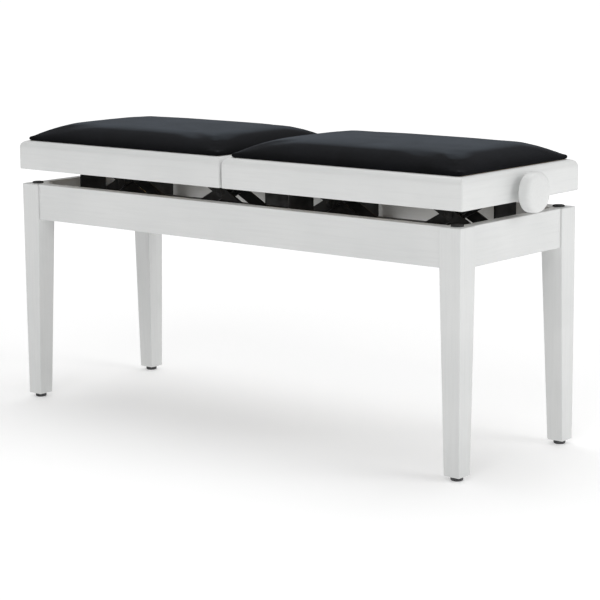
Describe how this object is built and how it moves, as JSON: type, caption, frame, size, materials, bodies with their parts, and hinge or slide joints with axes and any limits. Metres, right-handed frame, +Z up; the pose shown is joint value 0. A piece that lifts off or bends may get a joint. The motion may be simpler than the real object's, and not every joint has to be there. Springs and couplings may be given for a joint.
{
  "type": "piano bench",
  "caption": "Long rectangular bench with tapered square legs and two padded seats, each raised by a scissor lift and a side knob.",
  "frame": {"origin": "on the floor, under the middle of the bench in plan", "axes": "+X along the bench, +Y from front to back, +Z up"},
  "size_m": [1.048, 0.325, 0.5075],
  "materials": {
    "white_lacquer": "satin white lacquer on beech",
    "black_velour": "short-pile velour",
    "plywood": "unfinished birch plywood",
    "dark_plastic": "moulded",
    "nylon": "moulded natural nylon",
    "black_rubber": "soft",
    "zinc_steel": "bright zinc plate",
    "brass": "turned, slightly dull",
    "black_steel": "black powder coat"
  },
  "bodies": {
    "frame": {"apron_back": "white_lacquer", "apron_front": "white_lacquer", "apron_left": "white_lacquer", "apron_right": "white_lacquer", "base_bearers": "black_steel", "bearer_screws": "zinc_steel", "corner_brackets": "zinc_steel", "cross_rail": "white_lacquer", "foot_glides": "dark_plastic", "guide_channels": "black_steel", "leg_back_left": "white_lacquer", "leg_back_right": "white_lacquer", "leg_bolts": "zinc_steel", "leg_front_left": "white_lacquer", "leg_front_right": "white_lacquer", "pivot_brackets": "black_steel", "pivot_rods": "zinc_steel", "rest_pads": "black_rubber", "shield_bolts": "brass", "shield_plates": "black_steel"},
    "seat_left": {"seat_rail_front_left": "white_lacquer", "seat_rail_back_left": "white_lacquer", "seat_rail_outer_left": "white_lacquer", "seat_rail_inner_left": "white_lacquer", "seat_board_left": "plywood", "cushion_left": "black_velour", "lift_plate_left": "black_steel", "plate_screws_left": "zinc_steel", "end_blocks_left": "black_steel"},
    "spindle_left": {"spindle_left": "zinc_steel", "knob_left": "white_lacquer"},
    "nut_arm_left_outer": {"nut_arm_left_outer": "black_steel"},
    "shoe_arm_left_outer": {"shoe_arm_left_outer": "black_steel", "shoes_left_outer": "nylon"},
    "nut_left_outer": {"spindle_nut_left_outer": "brass"},
    "nut_arm_left_inner": {"nut_arm_left_inner": "black_steel"},
    "shoe_arm_left_inner": {"shoe_arm_left_inner": "black_steel", "shoes_left_inner": "nylon"},
    "nut_left_inner": {"spindle_nut_left_inner": "brass"},
    "seat_right": {"seat_rail_front_right": "white_lacquer", "seat_rail_back_right": "white_lacquer", "seat_rail_outer_right": "white_lacquer", "seat_rail_inner_right": "white_lacquer", "seat_board_right": "plywood", "cushion_right": "black_velour", "lift_plate_right": "black_steel", "plate_screws_right": "zinc_steel", "end_blocks_right": "black_steel"},
    "spindle_right": {"spindle_right": "zinc_steel", "knob_right": "white_lacquer"},
    "nut_arm_right_outer": {"nut_arm_right_outer": "black_steel"},
    "shoe_arm_right_outer": {"shoe_arm_right_outer": "black_steel", "shoes_right_outer": "nylon"},
    "nut_right_outer": {"spindle_nut_right_outer": "brass"},
    "nut_arm_right_inner": {"nut_arm_right_inner": "black_steel"},
    "shoe_arm_right_inner": {"shoe_arm_right_inner": "black_steel", "shoes_right_inner": "nylon"},
    "nut_right_inner": {"spindle_nut_right_inner": "brass"}
  },
  "joints": [
    {"name": "lift_left", "type": "hinge", "parent": "frame", "child": "nut_arm_left_outer", "pos_m": [-0.446, 0, 0.35], "axis": [0, -1, 0], "range_deg": [-7.9, 33.1]},
    {"name": "scissor_left_outer", "type": "hinge", "parent": "nut_arm_left_outer", "child": "shoe_arm_left_outer", "pos_m": [-0.36721, 0, 0.3935], "axis": [0, 1, 0], "range_deg": [-16, 66.4]},
    {"name": "nut_pivot_left_outer", "type": "hinge", "parent": "nut_arm_left_outer", "child": "nut_left_outer", "pos_m": [-0.28842, 0, 0.437], "axis": [0, 1, 0], "range_deg": [-8, 33.2]},
    {"name": "seat_pivot_left", "type": "hinge", "parent": "shoe_arm_left_outer", "child": "seat_left", "pos_m": [-0.446, 0, 0.437], "axis": [0, -1, 0], "range_deg": [-8, 33.2]},
    {"name": "nut_arm_pivot_left_inner", "type": "hinge", "parent": "frame", "child": "nut_arm_left_inner", "pos_m": [-0.046, 0, 0.35], "axis": [0, 1, 0], "range_deg": [-8, 33.2]},
    {"name": "scissor_left_inner", "type": "hinge", "parent": "nut_arm_left_inner", "child": "shoe_arm_left_inner", "pos_m": [-0.12479, 0, 0.3935], "axis": [0, -1, 0], "range_deg": [-16, 66.4]},
    {"name": "nut_pivot_left_inner", "type": "hinge", "parent": "nut_arm_left_inner", "child": "nut_left_inner", "pos_m": [-0.20358, 0, 0.437], "axis": [0, -1, 0], "range_deg": [-8, 33.2]},
    {"name": "knob_turn_left", "type": "hinge", "parent": "seat_left", "child": "spindle_left", "pos_m": [-0.246, 0, 0.437], "axis": [-1, 0, 0], "range_deg": [-480, 1992]},
    {"name": "lift_right", "type": "hinge", "parent": "frame", "child": "nut_arm_right_outer", "pos_m": [0.446, 0, 0.35], "axis": [0, 1, 0], "range_deg": [-7.9, 33.1]},
    {"name": "scissor_right_outer", "type": "hinge", "parent": "nut_arm_right_outer", "child": "shoe_arm_right_outer", "pos_m": [0.36721, 0, 0.3935], "axis": [0, -1, 0], "range_deg": [-16, 66.4]},
    {"name": "nut_pivot_right_outer", "type": "hinge", "parent": "nut_arm_right_outer", "child": "nut_right_outer", "pos_m": [0.28842, 0, 0.437], "axis": [0, -1, 0], "range_deg": [-8, 33.2]},
    {"name": "seat_pivot_right", "type": "hinge", "parent": "shoe_arm_right_outer", "child": "seat_right", "pos_m": [0.446, 0, 0.437], "axis": [0, 1, 0], "range_deg": [-8, 33.2]},
    {"name": "nut_arm_pivot_right_inner", "type": "hinge", "parent": "frame", "child": "nut_arm_right_inner", "pos_m": [0.046, 0, 0.35], "axis": [0, -1, 0], "range_deg": [-8, 33.2]},
    {"name": "scissor_right_inner", "type": "hinge", "parent": "nut_arm_right_inner", "child": "shoe_arm_right_inner", "pos_m": [0.12479, 0, 0.3935], "axis": [0, 1, 0], "range_deg": [-16, 66.4]},
    {"name": "nut_pivot_right_inner", "type": "hinge", "parent": "nut_arm_right_inner", "child": "nut_right_inner", "pos_m": [0.20358, 0, 0.437], "axis": [0, 1, 0], "range_deg": [-8, 33.2]},
    {"name": "knob_turn_right", "type": "hinge", "parent": "seat_right", "child": "spindle_right", "pos_m": [0.246, 0, 0.437], "axis": [1, 0, 0], "range_deg": [-480, 1992]}
  ],
  "couplings": [
    {"joint": "seat_pivot_left", "follows": "lift_left", "ratio": 1},
    {"joint": "scissor_left_outer", "follows": "lift_left", "ratio": 2},
    {"joint": "nut_pivot_left_outer", "follows": "lift_left", "ratio": 1},
    {"joint": "nut_arm_pivot_left_inner", "follows": "lift_left", "ratio": 1},
    {"joint": "scissor_left_inner", "follows": "lift_left", "ratio": 2},
    {"joint": "nut_pivot_left_inner", "follows": "lift_left", "ratio": 1},
    {"joint": "knob_turn_left", "follows": "lift_left", "ratio": 60},
    {"joint": "seat_pivot_right", "follows": "lift_right", "ratio": 1},
    {"joint": "scissor_right_outer", "follows": "lift_right", "ratio": 2},
    {"joint": "nut_pivot_right_outer", "follows": "lift_right", "ratio": 1},
    {"joint": "nut_arm_pivot_right_inner", "follows": "lift_right", "ratio": 1},
    {"joint": "scissor_right_inner", "follows": "lift_right", "ratio": 2},
    {"joint": "nut_pivot_right_inner", "follows": "lift_right", "ratio": 1},
    {"joint": "knob_turn_right", "follows": "lift_right", "ratio": 60}
  ]
}
